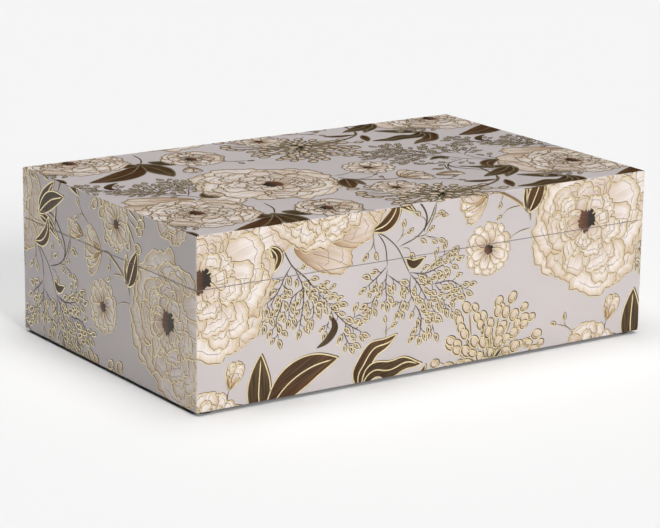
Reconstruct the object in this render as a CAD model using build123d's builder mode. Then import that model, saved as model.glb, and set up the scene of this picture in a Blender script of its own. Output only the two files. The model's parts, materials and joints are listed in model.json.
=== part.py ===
from build123d import *

# Rectangular keepsake box with a hinged lid. Boards of fibreboard are mitred at the corners
# and covered by printed, lacquered sheets. Two brass hinges with built-in stops join the lid
# to the back wall, and both halves are lined.
# +X runs along the length, +Y towards the hinges and +Z up. The origin is on the ground,
# under the middle of the outer size. Millimetres.

import os
from math import radians, tan

os.makedirs("parts", exist_ok=True)

# Shell
box_length = 350.0
box_depth = 223.0
shell_height = 111.0
lid_height = 34.0
sheet = 1.0
board = 8.0
floor_board = 5.0
edge_radius = 0.9
seam_gap = 0.35
seam_chamfer = 0.2

# Feet
foot_diameter = 13.0
foot_height = 2.0
foot_inset = 3.0
foot_rounding = 0.4

# Lining
liner = 1.5
pad = 3.0
liner_drop = 2.0

# Hinges
hinge_length = 30.0
hinge_offset = 95.0
leaf_width = 8.0
leaf = 1.0
knuckle_radius = 2.0
knuckle_count = 3
knuckle_gap = 0.15
hinge_clearance = 0.3
pin_radius = 1.0
pin_play = 0.05
pin_chamfer = 0.2
stop_height = 3.7
stop_bevel = 48.0

# Hinge screws
screw_length = 7.0
screw_radius = 1.1
screw_head_radius = 1.9
screw_head_depth = 0.8
screw_sink = 0.1
screw_tip = 1.5
screw_tip_radius = 0.3
screw_offset = 9.0
screw_hole_radius = 1.2
slot_width = 0.5
slot_depth = 0.35

# Worked out from those
axis_stand_off = knuckle_radius + hinge_clearance
hinge_reach = axis_stand_off + stop_height / tan(radians(stop_bevel))
middle_y = -hinge_reach / 2
back_y = middle_y + box_depth / 2
axis_y = back_y + axis_stand_off
bottom_z = foot_height
seam_z = bottom_z + shell_height - lid_height
top_z = bottom_z + shell_height
base_height = seam_z - bottom_z
board_length = box_length - 2 * sheet
board_depth = box_depth - 2 * sheet
inside_length = board_length - 2 * board
inside_depth = board_depth - 2 * board
lined_length = inside_length - 2 * liner
lined_depth = inside_depth - 2 * liner
ceiling_z = top_z - sheet - board
floor_z = bottom_z + floor_board
screw_y = back_y - sheet - (leaf_width - sheet) / 2
knuckle_pitch = hinge_length / knuckle_count

sides = {"front": (0, -1), "back": (0, 1), "left": (-1, 0), "right": (1, 0)}
hinges = {"left": -hinge_offset, "right": hinge_offset}
ON_TOP = (Align.CENTER, Align.CENTER, Align.MIN)
DOWN = (180, 0, 0)


def save(piece, name):
    """Label a finished piece and write its STEP file."""
    piece.part.label = name
    export_step(piece.part, f"parts/{name}.step")


def mitre_planes(side):
    """Two upright planes at 45 degrees through the shell's corners at one side's ends."""
    out_x, out_y = sides[side]
    planes = []
    for end in (-1, 1):
        along_x = end * abs(out_y)
        along_y = end * abs(out_x)
        corner_x = (out_x + along_x) * box_length / 2
        corner_y = middle_y + (out_y + along_y) * box_depth / 2
        inward = (out_x - along_x, out_y - along_y, 0)
        planes.append(Plane(origin=(corner_x, corner_y, 0), z_dir=inward))
    return planes


def top_mitre(side, keep_top):
    """The plane at 45 degrees through one top edge, facing the top sheet or the side sheet."""
    out_x, out_y = sides[side]
    edge = (out_x * box_length / 2, middle_y + out_y * box_depth / 2, top_z)
    facing = (-out_x, -out_y, 1) if keep_top else (out_x, out_y, -1)
    return Plane(origin=edge, z_dir=facing)


def wall_ring(outer, inner, low, high):
    """A rectangular ring between two (length, depth) sizes, from one height to another."""
    with BuildPart() as ring:
        with BuildSketch(Plane.XY.offset(low)):
            with Locations((0, middle_y)):
                Rectangle(*outer)
                Rectangle(*inner, mode=Mode.SUBTRACT)
        extrude(amount=high - low)
    return ring.part


def hinge_recesses(above):
    """The shallow pockets in a back wall's edge that take the hinge leaves."""
    level = seam_z if above else seam_z - leaf
    with BuildPart() as recesses:
        for x in hinges.values():
            with Locations((x, back_y - leaf_width / 2, level)):
                Box(hinge_length, leaf_width, leaf, align=ON_TOP)
    return recesses.part


def screw_places(above, middles=tuple(hinges.values())):
    """Where the screws of some hinges enter: down into the base, or up into the lid."""
    turn = DOWN if above else (0, 0, 0)
    places = []
    for x in middles:
        for offset in (-screw_offset, screw_offset):
            places.append(Location((x + offset, screw_y, seam_z), turn))
    return places


# ---- Boards ---------------------------------------------------------------------------------

board_size = (board_length, board_depth)
inside_size = (inside_length, inside_depth)
lined_size = (lined_length, lined_depth)


def build_walls(prefix, suffix, low, high, above):
    """Four mitred boards. The back one has pockets and pilot holes for the hinges."""
    ring = wall_ring(board_size, inside_size, low, high)
    for side in sides:
        with BuildPart() as wall:
            add(ring)
            for plane in mitre_planes(side):
                split(bisect_by=plane, keep=Keep.TOP)
            if side == "back":
                add(hinge_recesses(above), mode=Mode.SUBTRACT)
                with Locations(*screw_places(above)):
                    Cylinder(screw_radius, 2 * screw_length, mode=Mode.SUBTRACT)
        save(wall, f"{prefix}_{side}_{suffix}")


build_walls("base", "panel", bottom_z, seam_z, above=False)
build_walls("lid", "rim", seam_z, ceiling_z, above=True)

with BuildPart() as base_bottom_panel:
    with Locations((0, middle_y, bottom_z)):
        Box(inside_length, inside_depth, floor_board, align=ON_TOP)
save(base_bottom_panel, "base_bottom_panel")

with BuildPart() as lid_top_panel:
    with Locations((0, middle_y, ceiling_z)):
        Box(board_length, board_depth, board, align=ON_TOP)
save(lid_top_panel, "lid_top_panel")

# ---- Printed sheets -------------------------------------------------------------------------

with BuildPart() as base_skin:
    with Locations((0, middle_y, bottom_z)):
        Box(box_length, box_depth, base_height, align=ON_TOP)
    upright_edges = base_skin.edges().filter_by(Axis.Z)
    bottom_edges = base_skin.edges().group_by(Axis.Z)[0]
    fillet(upright_edges + bottom_edges, edge_radius)
    chamfer(base_skin.edges().group_by(Axis.Z)[-1], seam_chamfer)
    with Locations((0, middle_y, bottom_z)):
        Box(board_length, board_depth, base_height, align=ON_TOP, mode=Mode.SUBTRACT)

# The lid's boards rest on the base's; its sheets end a little higher, which leaves a dark line
with BuildPart() as lid_skin:
    with Locations((0, middle_y, seam_z + seam_gap)):
        Box(box_length, box_depth, lid_height - seam_gap, align=ON_TOP)
    upright_edges = lid_skin.edges().filter_by(Axis.Z)
    top_edges = lid_skin.edges().group_by(Axis.Z)[-1]
    fillet(upright_edges + top_edges, edge_radius)
    chamfer(lid_skin.edges().group_by(Axis.Z)[0], seam_chamfer)
    with Locations((0, middle_y, seam_z)):
        Box(board_length, board_depth, lid_height - sheet, align=ON_TOP, mode=Mode.SUBTRACT)

for side in sides:
    with BuildPart() as base_print:
        add(base_skin.part)
        for plane in mitre_planes(side):
            split(bisect_by=plane, keep=Keep.TOP)
        if side == "back":
            add(hinge_recesses(above=False), mode=Mode.SUBTRACT)
    save(base_print, f"base_print_{side}")

    with BuildPart() as lid_print:
        add(lid_skin.part)
        for plane in mitre_planes(side):
            split(bisect_by=plane, keep=Keep.TOP)
        split(bisect_by=top_mitre(side, keep_top=False), keep=Keep.TOP)
        if side == "back":
            add(hinge_recesses(above=True), mode=Mode.SUBTRACT)
    save(lid_print, f"lid_print_{side}")

with BuildPart() as lid_print_top:
    add(lid_skin.part)
    for side in sides:
        split(bisect_by=top_mitre(side, keep_top=True), keep=Keep.TOP)
save(lid_print_top, "lid_print_top")

# ---- Linings --------------------------------------------------------------------------------


def build_liners(prefix, low, high):
    """Four mitred strips of lined card against the inside of the boards."""
    ring = wall_ring(inside_size, lined_size, low, high)
    for side in sides:
        with BuildPart() as strip:
            add(ring)
            for plane in mitre_planes(side):
                split(bisect_by=plane, keep=Keep.TOP)
        save(strip, f"{prefix}_lining_{side}")


build_liners("base", floor_z, seam_z - liner_drop)
build_liners("lid", seam_z + liner_drop, ceiling_z)

with BuildPart() as base_lining_floor:
    with Locations((0, middle_y, floor_z)):
        Box(lined_length, lined_depth, pad, align=ON_TOP)
save(base_lining_floor, "base_lining_floor")

with BuildPart() as lid_lining_top:
    with Locations((0, middle_y, ceiling_z - pad)):
        Box(lined_length, lined_depth, pad, align=ON_TOP)
save(lid_lining_top, "lid_lining_top")

# ---- Feet -----------------------------------------------------------------------------------

foot_x = box_length / 2 - foot_inset - foot_diameter / 2
foot_y = box_depth / 2 - foot_inset - foot_diameter / 2

for name_y, sign_y in (("front", -1), ("back", 1)):
    for name_x, sign_x in (("left", -1), ("right", 1)):
        with BuildPart() as foot:
            with Locations((sign_x * foot_x, middle_y + sign_y * foot_y, 0)):
                Cylinder(foot_diameter / 2, foot_height, align=ON_TOP)
            fillet(foot.edges().group_by(Axis.Z)[0], foot_rounding)
        save(foot, f"foot_{name_y}_{name_x}")

# ---- Hinges ---------------------------------------------------------------------------------


def knuckle_spans(x, above):
    """Middle and length of each knuckle of one leaf: the lid has the middle one."""
    spans = []
    for index in range(knuckle_count):
        in_lid = index % 2 == 1
        if in_lid != above:
            continue
        low = x - hinge_length / 2 + index * knuckle_pitch
        high = low + knuckle_pitch
        if index > 0:
            low += knuckle_gap / 2
        if index < knuckle_count - 1:
            high -= knuckle_gap / 2
        spans.append(((low + high) / 2, high - low))
    return spans


def barrel(radius, spans, longer=0.0):
    """Cylinders on the hinge axis, one for each span."""
    with BuildPart() as cylinders:
        for middle, length in spans:
            with Locations((middle, axis_y, seam_z)):
                Cylinder(radius, length + longer, rotation=(0, 90, 0))
    return cylinders.part


def hinge_leaf(x, above):
    """A leaf: its plate, the bevelled stop behind the axis, and its knuckles."""
    up = 1 if above else -1
    stop_reach = stop_height / tan(radians(stop_bevel))
    plate_level = seam_z if above else seam_z - leaf
    bore = pin_radius + (pin_play if above else 0)
    start = Plane(origin=(x - hinge_length / 2, axis_y, seam_z), x_dir=(0, 1, 0), z_dir=(1, 0, 0))
    with BuildPart() as result:
        with Locations((x, back_y - leaf_width / 2, plate_level)):
            Box(hinge_length, leaf_width, leaf, align=ON_TOP)
        with BuildSketch(start):
            with BuildLine():
                Polyline(
                    (0, 0),
                    (-axis_stand_off, 0),
                    (-axis_stand_off, up * stop_height),
                    (stop_reach, up * stop_height),
                    close=True,
                )
            make_face()
        extrude(amount=hinge_length)
        add(
            barrel(knuckle_radius + hinge_clearance, knuckle_spans(x, not above), knuckle_gap * 2),
            mode=Mode.SUBTRACT,
        )
        add(barrel(knuckle_radius, knuckle_spans(x, above)))
        with Locations((x, axis_y, seam_z)):
            Cylinder(bore, hinge_length, rotation=(0, 90, 0), mode=Mode.SUBTRACT)
        with Locations(*screw_places(above, [x])):
            CounterSinkHole(screw_hole_radius, screw_head_radius + screw_sink, depth=leaf)
    return result


for hinge_name, hinge_x in hinges.items():
    save(hinge_leaf(hinge_x, above=False), f"hinge_{hinge_name}_base_leaf")
    save(hinge_leaf(hinge_x, above=True), f"hinge_{hinge_name}_lid_leaf")

    with BuildPart() as hinge_pin:
        with Locations((hinge_x, axis_y, seam_z)):
            Cylinder(pin_radius, hinge_length, rotation=(0, 90, 0))
        chamfer(hinge_pin.edges().filter_by(GeomType.CIRCLE), pin_chamfer)
    save(hinge_pin, f"hinge_{hinge_name}_pin")

# ---- Screws ---------------------------------------------------------------------------------

with BuildPart() as screw:
    with BuildSketch(Plane.XZ):
        with BuildLine():
            Polyline(
                (0, -screw_sink),
                (screw_head_radius, -screw_sink),
                (screw_radius, -screw_head_depth - screw_sink),
                (screw_radius, screw_tip - screw_length),
                (screw_tip_radius, -screw_length),
                (0, -screw_length),
                close=True,
            )
        make_face()
    revolve(axis=Axis.Z)
    with Locations((0, 0, -screw_sink)):
        Box(
            2 * screw_head_radius,
            slot_width,
            2 * slot_depth,
            mode=Mode.SUBTRACT,
        )

for half, above in (("base", False), ("lid", True)):
    with BuildPart() as screws:
        with Locations(*screw_places(above)):
            add(screw.part)
    save(screws, f"{half}_hinge_screws")

print("outer size", box_length, box_depth + hinge_reach, top_z)
print("hinge axis y", axis_y, "z", seam_z, "shell middle y", middle_y)
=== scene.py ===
import json
import math
import random
from functools import partial

import bmesh
import bpy
import numpy as np
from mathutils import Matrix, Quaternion, Vector
from mathutils.geometry import delaunay_2d_cdt


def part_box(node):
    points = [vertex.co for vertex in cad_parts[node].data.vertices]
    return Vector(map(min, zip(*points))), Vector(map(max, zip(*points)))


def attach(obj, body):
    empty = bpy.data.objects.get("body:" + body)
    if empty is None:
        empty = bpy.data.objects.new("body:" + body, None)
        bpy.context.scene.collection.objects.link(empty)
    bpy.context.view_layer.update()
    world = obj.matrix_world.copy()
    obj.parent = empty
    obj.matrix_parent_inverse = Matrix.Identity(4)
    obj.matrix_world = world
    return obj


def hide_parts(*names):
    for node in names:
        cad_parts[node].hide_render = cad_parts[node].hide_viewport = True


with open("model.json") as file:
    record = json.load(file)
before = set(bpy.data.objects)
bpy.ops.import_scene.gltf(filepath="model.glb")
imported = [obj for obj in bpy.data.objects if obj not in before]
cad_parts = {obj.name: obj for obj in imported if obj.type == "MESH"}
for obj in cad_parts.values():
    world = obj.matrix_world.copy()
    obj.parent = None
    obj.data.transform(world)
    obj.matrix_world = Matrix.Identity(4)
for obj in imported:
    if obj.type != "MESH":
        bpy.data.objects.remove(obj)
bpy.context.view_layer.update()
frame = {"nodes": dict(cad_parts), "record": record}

MM = 0.001
NODES = frame["nodes"]
BODIES = frame["record"]["behaviour"]["bodies"]

# ---- Places read from the frame --------------------------------------------------------------

SIDES = ("front", "back", "left", "right")
LID_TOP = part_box("lid_print_top")
SHELL_LOW = Vector((
    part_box("base_print_left")[0].x,
    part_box("base_print_front")[0].y,
    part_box("base_print_front")[0].z,
))
SHELL_HIGH = Vector((
    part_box("base_print_right")[1].x,
    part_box("base_print_back")[1].y,
    LID_TOP[1].z,
))
BASE_EDGE_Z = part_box("base_print_front")[1].z
LID_EDGE_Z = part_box("lid_print_front")[0].z
SHELL = SHELL_HIGH - SHELL_LOW

# ---- Camera, light and floor -----------------------------------------------------------------

# The camera stands left of the front, looking down a little, in shares of the shell's length
CAMERA_FROM_CORNER = Vector((-2.224, -3.682, 1.391))
CAMERA_LOOKS = Vector((0.5435, 0.8006, -0.2522))
CAMERA_ROLL = math.radians(0.67)
SENSOR = 36.0
LENS = 142.0

KEY_FROM = (-0.02, -0.78, 0.32)
KEY_POWER = 2.2
KEY_SPREAD = math.radians(20)
FLOOR_SIZE = 16
FLOOR_PARTS = 8
FLOOR_WHITE = (0.80, 0.80, 0.80, 1)
PALE = (0.92, 0.92, 0.92)
# The tent's brightness by the height of the direction, from the horizon up
TENT = [(0.0, (0.04, 0.04, 0.04)), (0.86, (0.06, 0.06, 0.06)), (0.96, (4.9, 4.9, 4.9))]


def added(name, data):
    """A new object in the scene."""
    made = bpy.data.objects.new(name, data)
    bpy.context.scene.collection.objects.link(made)
    return made


def add_camera():
    data = bpy.data.cameras.new("camera")
    data.sensor_width = SENSOR
    data.lens = LENS
    camera = added("camera", data)
    camera.location = SHELL_LOW + CAMERA_FROM_CORNER * SHELL.x
    turn = CAMERA_LOOKS.to_track_quat("-Z", "Y")
    camera.rotation_mode = "QUATERNION"
    camera.rotation_quaternion = turn @ Quaternion((0, 0, 1), CAMERA_ROLL)
    bpy.context.scene.camera = camera


def add_key():
    """A soft key light, low in front. It is a sun, so its light is even all over the floor."""
    data = bpy.data.lights.new("key", "SUN")
    data.energy = KEY_POWER
    data.angle = KEY_SPREAD
    light = added("key", data)
    light.rotation_mode = "QUATERNION"
    light.rotation_quaternion = (-Vector(KEY_FROM)).to_track_quat("-Z", "Y")


def add_floor():
    bpy.ops.mesh.primitive_grid_add(
        x_subdivisions=FLOOR_PARTS, y_subdivisions=FLOOR_PARTS, size=FLOOR_SIZE
    )
    floor = bpy.context.object
    floor.name = "floor"
    material, shader = new_material("floor_paper")
    shader.inputs["Base Color"].default_value = FLOOR_WHITE
    shader.inputs["Roughness"].default_value = 1.0
    shader.inputs["Specular IOR Level"].default_value = 0.0
    floor.data.materials.append(material)


def add_world():
    """A light tent: bright overhead, dim near the horizon, and pale where the camera sees it."""
    world = bpy.data.worlds.new("studio")
    world.use_nodes = True
    split = node(world, "ShaderNodeSeparateXYZ")
    join(world, node(world, "ShaderNodeTexCoord").outputs["Generated"], split.inputs[0])
    tent = ramp(world, split.outputs["Z"], TENT)
    seen = node(world, "ShaderNodeLightPath").outputs["Is Camera Ray"]
    colour = mixed(world, seen, tent, PALE)
    join(world, colour, world.node_tree.nodes["Background"].inputs["Color"])
    bpy.context.scene.world = world
    bpy.context.scene.view_settings.view_transform = "Standard"


# ---- Materials -------------------------------------------------------------------------------


def new_material(name):
    material = bpy.data.materials.new(name)
    material.use_nodes = True
    return material, material.node_tree.nodes["Principled BSDF"]


def node(material, kind, **values):
    """A new node; keys with a leading underscore set inputs by name, others set properties."""
    made = material.node_tree.nodes.new(kind)
    for key, value in values.items():
        if key.startswith("_"):
            made.inputs[key[1:].replace("_", " ")].default_value = value
        else:
            setattr(made, key, value)
    return made


def join(material, source, target):
    material.node_tree.links.new(source, target)


def ramp(material, factor, stops):
    made = node(material, "ShaderNodeValToRGB")
    elements = made.color_ramp.elements
    while len(elements) < len(stops):
        elements.new(0.5)
    for element, (place, colour) in zip(elements, stops):
        element.position = place
        element.color = (*colour, 1)
    join(material, factor, made.inputs["Fac"])
    return made.outputs["Color"]


def noise(material, scale, detail=3.0, vector=None):
    made = node(material, "ShaderNodeTexNoise", _Scale=scale, _Detail=detail)
    if vector is None:
        vector = node(material, "ShaderNodeTexCoord").outputs["Object"]
    join(material, vector, made.inputs["Vector"])
    return made.outputs["Fac"]


def mixed(material, factor, a, b, blend="MIX"):
    made = node(material, "ShaderNodeMix", data_type="RGBA", blend_type=blend)
    for value, socket in ((factor, 0), (a, 6), (b, 7)):
        if isinstance(value, bpy.types.NodeSocket):
            join(material, value, made.inputs[socket])
        elif socket == 0:
            made.inputs[socket].default_value = value
        else:
            made.inputs[socket].default_value = (*value, 1)
    return made.outputs[2]


def bump(material, shader, height, strength, distance, socket="Normal"):
    made = node(material, "ShaderNodeBump", _Strength=strength, _Distance=distance)
    join(material, height, made.inputs["Height"])
    join(material, made.outputs["Normal"], shader.inputs[socket])


def lacquered(material, shader):
    """High-gloss clear lacquer over the print, with the faint ripple of sprayed coats."""
    shader.inputs["Roughness"].default_value = 0.6
    shader.inputs["Specular IOR Level"].default_value = 0.0
    shader.inputs["Coat Weight"].default_value = 0.6
    shader.inputs["Coat Roughness"].default_value = 0.08
    bump(material, shader, noise(material, 90, 2), 0.04, 0.002, "Coat Normal")


def surface(name, dark, light, tone, grain=None, **values):
    """A material that drifts between two colours. Without a grain it is lacquered.

    tone is the drift's scale and detail. grain is the scale, detail, strength and distance of
    fine bumps. values are the shader's own sockets, with underscores for spaces."""
    material, shader = new_material(name)
    colour = ramp(material, noise(material, *tone), [(0.3, dark), (0.7, light)])
    join(material, colour, shader.inputs["Base Color"])
    for socket, value in values.items():
        shader.inputs[socket.replace("_", " ")].default_value = value
    if grain:
        scale, detail, strength, distance = grain
        bump(material, shader, noise(material, scale, detail), strength, distance)
    else:
        lacquered(material, shader)
    return material


def petal_coordinates(material):
    """Across and along the shape, and how far in from its outline, with a number of its own."""
    split = []
    for layer in ("shape", "edge"):
        uv = node(material, "ShaderNodeUVMap", uv_map=layer)
        parts = node(material, "ShaderNodeSeparateXYZ")
        join(material, uv.outputs["UV"], parts.inputs[0])
        split += [parts.outputs["X"], parts.outputs["Y"]]
    return split


def times(material, source, factor):
    made = node(material, "ShaderNodeMath", operation="MULTIPLY")
    made.inputs[1].default_value = factor
    join(material, source, made.inputs[0])
    return made.outputs[0]


STREAK_SCALE = 2.2
# How far apart in the noise two shapes' own streaks lie
STREAK_SHIFT = 37.0


def streaks(material, across, along, own, density):
    """Long thin marks that run from a shape's base to its tip."""
    place = node(material, "ShaderNodeCombineXYZ")
    join(material, times(material, across, density), place.inputs["X"])
    join(material, along, place.inputs["Y"])
    join(material, times(material, own, STREAK_SHIFT), place.inputs["Z"])
    return noise(material, STREAK_SCALE, 3, place.outputs[0])


WHITE = (1, 1, 1)
CLEAN = [(0.0, WHITE), (1.0, WHITE)]


def paint_material(name, inward, lengthwise, streak, tones=CLEAN, density=9.0):
    """A watercolour fill: a ramp inwards, one from base to tip, streaks, and a tone of its own."""
    material, shader = new_material(name)
    across, along, depth, own = petal_coordinates(material)
    body = ramp(material, depth, inward)
    length = ramp(material, along, lengthwise)
    colour = mixed(material, 1.0, body, length, "MULTIPLY")
    colour = mixed(material, 1.0, colour, ramp(material, own, tones), "MULTIPLY")
    marks = streaks(material, across, along, own, density)
    colour = mixed(material, 0.5, colour, ramp(material, marks, streak), "MULTIPLY")
    join(material, colour, shader.inputs["Base Color"])
    lacquered(material, shader)
    return material


def brass_material(name, roughness):
    material, shader = new_material(name)
    place = node(material, "ShaderNodeTexCoord")
    stretch = node(material, "ShaderNodeMapping")
    stretch.inputs["Scale"].default_value = (0.05, 1, 1)
    join(material, place.outputs["Object"], stretch.inputs["Vector"])
    grain = noise(material, 2400, 4, stretch.outputs["Vector"])
    colour = ramp(material, grain, [(0.3, (0.66, 0.46, 0.20)), (0.7, (0.82, 0.62, 0.30))])
    join(material, colour, shader.inputs["Base Color"])
    shader.inputs["Metallic"].default_value = 1.0
    shader.inputs["Roughness"].default_value = roughness
    bump(material, shader, grain, 0.15, 0.0003)
    return material


# ---- Lines in the plane ----------------------------------------------------------------------


def curve(points, step=1.0):
    """A smooth line through a few points, sampled about every step millimetres."""
    given = np.array(points, float)
    padded = np.vstack([2 * given[0] - given[1], given, 2 * given[-1] - given[-2]])
    found = []
    for p0, p1, p2, p3 in zip(padded, padded[1:], padded[2:], padded[3:]):
        count = max(2, int(np.hypot(*(p2 - p1)) / step) + 1)
        t = np.linspace(0, 1, count, endpoint=False)[:, None]
        found.append(0.5 * (
            2 * p1 + (p2 - p0) * t + (2 * p0 - 5 * p1 + 4 * p2 - p3) * t**2
            + (3 * p1 - p0 - 3 * p2 + p3) * t**3
        ))
    return np.vstack([*found, given[-1:]])


def bowed(start, end, bend, step=1.0):
    """A line whose middle is pushed aside by bend."""
    return curve([start, (start + end) / 2 + bend, end], step)


def closed(outline):
    return np.vstack([outline, outline[:1]])


def travelled_along(line):
    """How far each point lies from the line's start, along the line."""
    return np.concatenate([[0], np.cumsum(np.hypot(*np.diff(line, axis=0).T))])


def around(count):
    """Evenly spaced angles all the way round."""
    return np.linspace(0, 2 * np.pi, count, endpoint=False)


def oval(phi, wide, high):
    return np.stack([wide * np.cos(phi), high * np.sin(phi)], axis=1)


def normals_of(line):
    along = np.gradient(line, axis=0)
    along /= np.maximum(np.hypot(along[:, 0], along[:, 1]), 1e-9)[:, None]
    return np.stack([-along[:, 1], along[:, 0]], axis=1)


def heading(angle):
    return np.array([math.cos(angle), math.sin(angle)])


def sideways(angle):
    return heading(angle + math.pi / 2)


def inside(points, outline):
    """Which points lie inside a closed outline."""
    x, y = points[:, 0, None], points[:, 1, None]
    x0, y0 = outline[:, 0], outline[:, 1]
    x1, y1 = np.roll(x0, -1), np.roll(y0, -1)
    crosses = (y0 > y) != (y1 > y)
    rise = np.where(y1 == y0, 1e-9, y1 - y0)
    return (crosses & (x < (x1 - x0) * (y - y0) / rise + x0)).sum(axis=1) % 2 == 1


# The paper's repeat, in millimetres
REPEAT = (298.0, 165.0)
NEIGHBOURS = [(i, j) for i in (-1, 0, 1) for j in (-1, 0, 1)]


class Drawing:
    """The print, in the order that it is drawn: a later fill hides what lies under it."""

    def __init__(self):
        self.fills = []
        self.lines = []

    def fill(self, outline, paint, base, tip, middle=None):
        """A painted shape. base and tip set its lengthwise direction, middle its centre."""
        base, tip = np.array(base, float), np.array(tip, float)
        middle = (base + tip) / 2 if middle is None else middle
        self.fills.append((np.array(outline), paint, base, tip, middle))

    def line(self, points, ink=0.45, foil=0.7, taper=0.0, tone="ink"):
        """A drawn line. ink and foil are the two strips' widths, and tone is one of INKS."""
        self.lines.append((np.array(points), ink, foil, taper, tone, len(self.fills)))

    def shape(self, outline, paint, base, tip, middle=None, **style):
        """A painted shape with a line drawn round it."""
        self.fill(outline, paint, base, tip, middle)
        self.line(closed(outline), **style)

    def tiled(self):
        """Each fill with its copies on the neighbouring repeats that touch this one's fills.

        Returns (number in the drawing, whether it is this repeat's own, fill) in drawing order."""
        lows = np.array([fill[0].min(axis=0) for fill in self.fills])
        highs = np.array([fill[0].max(axis=0) for fill in self.fills])
        found = []
        for number, (outline, paint, base, tip, middle) in enumerate(self.fills):
            for i, j in NEIGHBOURS:
                shift = np.array([i * REPEAT[0], j * REPEAT[1]])
                near = ((lows[number] + shift <= highs) & (highs[number] + shift >= lows)).all(axis=1)
                if (i, j) == (0, 0) or near.any():
                    moved = (outline + shift, paint, base + shift, tip + shift, middle + shift)
                    found.append((number, (i, j) == (0, 0), moved))
        return found


def visible_runs(points, covers):
    """The stretches of a line that none of the covering outlines hides."""
    shown = np.ones(len(points), bool)
    low, high = points.min(axis=0), points.max(axis=0)
    for outline in covers:
        if (outline.min(axis=0) > high).any() or (outline.max(axis=0) < low).any():
            continue
        shown &= ~inside(points, outline)
    runs, start = [], None
    for index, seen in enumerate(list(shown) + [False]):
        if seen and start is None:
            start = index
        elif not seen and start is not None:
            if index - start >= 3:
                runs.append(points[start:index])
            start = None
    return runs


# ---- The flowers, leaves and sprays ----------------------------------------------------------

# Each kind of line: the widths of its ink and foil, its taper, and its tone if not the ink's
PETAL_RIM = {"ink": 0.52, "foil": 0.56, "tone": "sepia"}
CREASE = {"ink": 0.34, "foil": 0.4, "taper": 4.0, "tone": "sepia"}
FOLD = {"ink": 0.36, "taper": 3.0, "tone": "sepia"}
VEIN = {"ink": 0.3, "taper": 4.0, "tone": "sepia"}
EYE_RIM = {"ink": 0.35, "foil": 0.0}
DAISY_RIM = {"ink": 0.4, "foil": 0.5, "tone": "sepia"}
DAISY_VEIN = {"ink": 0.28, "foil": 0.0, "taper": 2.0, "tone": "sepia"}
STAMEN = {"ink": 0.3, "foil": 0.0, "taper": 3.0}
BUD_RIM = {"ink": 0.5, "foil": 0.58}
TWIG = {"ink": 0.5, "foil": 0.0}
STALK = {"ink": 1.2, "foil": 0.8, "taper": 6.0, "tone": "sepia"}
BERRY_RIM = {"ink": 0.7, "foil": 0.65}
BERRY_SHADE = {"ink": 0.7, "foil": 0.45, "taper": 3.0, "tone": "sepia"}

# A little more than a full turn, as the range of a wave's start
PHASE = 6.3


def waves_round(phi, rng, low, high, counts):
    """Waves round a shape, a sum of sines with random heights and starts."""
    return sum(rng.uniform(low, high) * np.sin(k * phi + rng.uniform(0, PHASE)) for k in counts)


def petal_outline(centre, angle, length, width, ruffle, rng, points=96):
    """An egg-shaped petal, widest towards its outer end, whose wavy rim is cut by sharp notches.

    Returns the outline, which starts at the tip, and the numbers of its notched points."""
    phi = around(points)
    from_tip = (phi + np.pi) % (2 * np.pi) - np.pi
    along = np.cos(phi) * length / 2
    across = np.sin(phi) * width / 2 * (1 + 0.28 * np.cos(phi))
    rim = np.clip((np.cos(phi) + 0.45) / 0.9, 0, 1)
    wave = waves_round(phi, rng, 0.25, 0.6, (2, 3, 5, 8))
    for k in (13, 19):
        wave = wave + waves_round(phi, rng, 0.2, 0.42, (k,))
    notched = []
    for _ in range(rng.choice((1, 2, 2, 3))):
        place = rng.uniform(-1.15, 1.15)
        wave = wave - rng.uniform(0.9, 2.0) * np.exp(-np.abs(from_tip - place) / rng.uniform(0.08, 0.2))
        notched.append(int(round(place / (2 * np.pi) * points)) % points)
    scale = 1 + ruffle * rim * wave
    outline = centre + (along * scale)[:, None] * heading(angle)
    outline = outline + (across * scale)[:, None] * sideways(angle)
    return outline, notched


def draw_petal(draw, centre, angle, length, width, ruffle, rng, paint="petal"):
    outline, notched = petal_outline(centre, angle, length, width, ruffle, rng)
    out = heading(angle)
    base = centre - out * length / 2
    tip = centre + out * length / 2
    draw.shape(outline, paint, base, tip, centre, **PETAL_RIM)
    # A crease runs in from each notch, bending with the petal
    for number in notched:
        start = outline[number]
        end = base + (start - base) * rng.uniform(0.3, 0.62)
        bend = sideways(angle) * rng.uniform(-0.09, 0.09) * width
        draw.line(bowed(start, end, bend), **CREASE)
    # The rim folds over along parts of its length, each fold leaning its own way
    count = len(outline)
    for shrink in (rng.uniform(0.80, 0.90), rng.uniform(0.52, 0.72)):
        first = rng.randint(-count // 3, -count // 20)
        last = rng.randint(count // 20, count // 3)
        pivot = base + sideways(angle) * rng.uniform(-0.38, 0.38) * width
        fold = np.array([outline[k % count] for k in range(first, last)])
        fold = pivot + (fold - pivot) * shrink
        draw.line(fold, foil=rng.choice((0.0, 0.42)), **FOLD)
    # A vein may rise from the base
    for _ in range(rng.choice((0, 0, 1))):
        lean = rng.uniform(-0.3, 0.3)
        end = base + heading(angle + lean) * length * rng.uniform(0.5, 0.75)
        bend = sideways(angle) * rng.choice((-0.16, 0.16)) * width
        vein = curve([base + out * length * 0.25, (base + end) / 2 + bend + out, end])
        draw.line(vein, foil=rng.choice((0.0, 0.0, 0.38)), **VEIN)


def draw_eye(draw, centre, radius, rng):
    """An uneven dark blot, with a line round it."""
    phi = around(72)
    jag = waves_round(phi, rng, 0.04, 0.10, (2, 3, 5, 9, 14, 21))
    outline = centre + (radius * (1 + jag))[:, None] * oval(phi, 1, 1.2)
    draw.shape(outline, "eye", centre - (radius, 0), centre + (radius, 0), centre, **EYE_RIM)


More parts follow.
